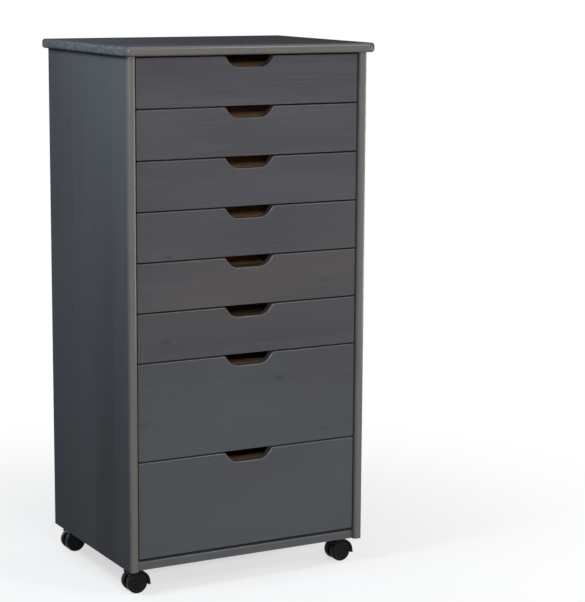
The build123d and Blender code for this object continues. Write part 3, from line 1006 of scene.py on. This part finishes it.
floor_finish, shader, start = start_finish("studio_floor")
seen = seen_rays(floor_finish.node_tree)
feed(shader, {"Base Color": blend_colours(seen, floor_bounce, floor_colour), "Roughness": floor_roughness})
feed(shader, {"Specular IOR Level": 0.0})
reach = start.make("ShaderNodeVectorMath", {"operation": "LENGTH"}, {0: start}, output="Value")
white = (ramp(reach, fade_start, fade_end) * (1.0 - near_white) + near_white) * seen
glow = start.make("ShaderNodeEmission", {}, {"Color": (1.0, 1.0, 1.0, 1.0), "Strength": 1.0})
surface = Value(shader.outputs["BSDF"])
mixed = start.make("ShaderNodeMixShader", {}, {0: white, 1: surface, 2: glow})
output = floor_finish.node_tree.nodes["Material Output"]
floor_finish.node_tree.links.new(mixed.socket, output.inputs["Surface"])
floor_mesh.materials.append(floor_finish)
print("floor:", 2 * floor_half, "m wide")

# %% [markdown]
# ## Soft lamps
# Soft boxes light the faces: a cool one high on the left, so that the side grows darker towards the
# floor as it does in the photograph, a large one in front, and low ones for the back and the right side.
# A small one just above the camera looks into the finger scoops, so they are dark above and lit below. A
# rounded upright edge mirrors only what stands at its own height, so a tall strip on the left and a wide
# box on the right draw the bright lines on the posts. A rounded edge that lies level mirrors what is
# above it, and the box high on the right draws the lines on the top's and the drawers' upper edges.


# %% Lamps
def soft_box(name, place, target, size, power, colour=(1.0, 1.0, 1.0)):
    """An area lamp of a width and height at a place, turned towards a target."""
    lamp = bpy.data.lights.new(name, "AREA")
    lamp.shape = "RECTANGLE"
    lamp.size, lamp.size_y = size
    lamp.energy = power
    lamp.color = colour
    box = bpy.data.objects.new(name, lamp)
    box.location = place
    box.visible_camera = False
    box.rotation_mode = "QUATERNION"
    box.rotation_quaternion = (Vector(target) - Vector(place)).to_track_quat("-Z", "Y")
    scene.collection.objects.link(box)
    return box


cool_light = (0.88, 1.0, 1.10)
soft_box("left_soft_box", (-1.1, -0.25, 1.55), (-0.25, 0.0, 0.65), (0.5, 0.5), 14.0, cool_light)
soft_box("left_strip", (-2.05, -1.1, 0.5), (-0.25, -0.18, 0.5), (0.06, 1.3), 0.6)
soft_box("front_soft_box", (-0.3, -3.9, 1.45), (0.0, -0.15, 0.4), (1.0, 0.7), 66.0)
soft_box("right_soft_box", (1.9, -1.1, 0.5), (0.0, -0.18, 0.5), (1.8, 1.0), 22.0)
soft_box("high_soft_box", (1.6, -2.6, 2.5), (0.1, -0.15, 0.7), (0.5, 0.5), 17.0)
soft_box("front_fill", (-1.62, -3.5, 1.39), (0.0, 0.0, 0.55), (0.16, 0.16), 38.0)
soft_box("rear_soft_box", (-0.3, 3.2, 0.5), (0.0, 0.2, 0.5), (0.8, 0.8), 30.0)
soft_box("side_soft_box", (2.6, 0.6, 0.5), (0.25, 0.0, 0.5), (0.8, 0.8), 26.0)

# %% [markdown]
# ## The camera
# The camera's place, direction and focal length were fitted to the cart's edges in the photograph.
# With a long lens it stands about three and a half metres away, to the left and a little above. Its
# focal length is known in pixels, and the sensor's width belongs to the longer side of the picture.

# %% The photograph's view
picture_height = 602
focal_pixels = 1960.2
sensor_width = 36.0
camera_place = Vector((-1.6842, -3.4182, 1.1852))
yaw, pitch, roll = math.radians(28.74), math.radians(9.90), math.radians(0.38)

lens = bpy.data.cameras.new("camera")
lens.sensor_width = sensor_width
lens.lens = focal_pixels * sensor_width / picture_height
camera = bpy.data.objects.new("camera", lens)
forward = Vector((math.sin(yaw) * math.cos(pitch), math.cos(yaw) * math.cos(pitch), -math.sin(pitch)))
level = Vector((math.cos(yaw), -math.sin(yaw), 0.0))
upward = level.cross(forward)
right = level * math.cos(roll) + upward * math.sin(roll)
up = upward * math.cos(roll) - level * math.sin(roll)
turned = Matrix((right, up, -forward)).transposed()
camera.matrix_world = Matrix.Translation(camera_place) @ turned.to_4x4()
scene.collection.objects.link(camera)
scene.camera = camera
print(f"camera: lens {lens.lens:.1f} mm")
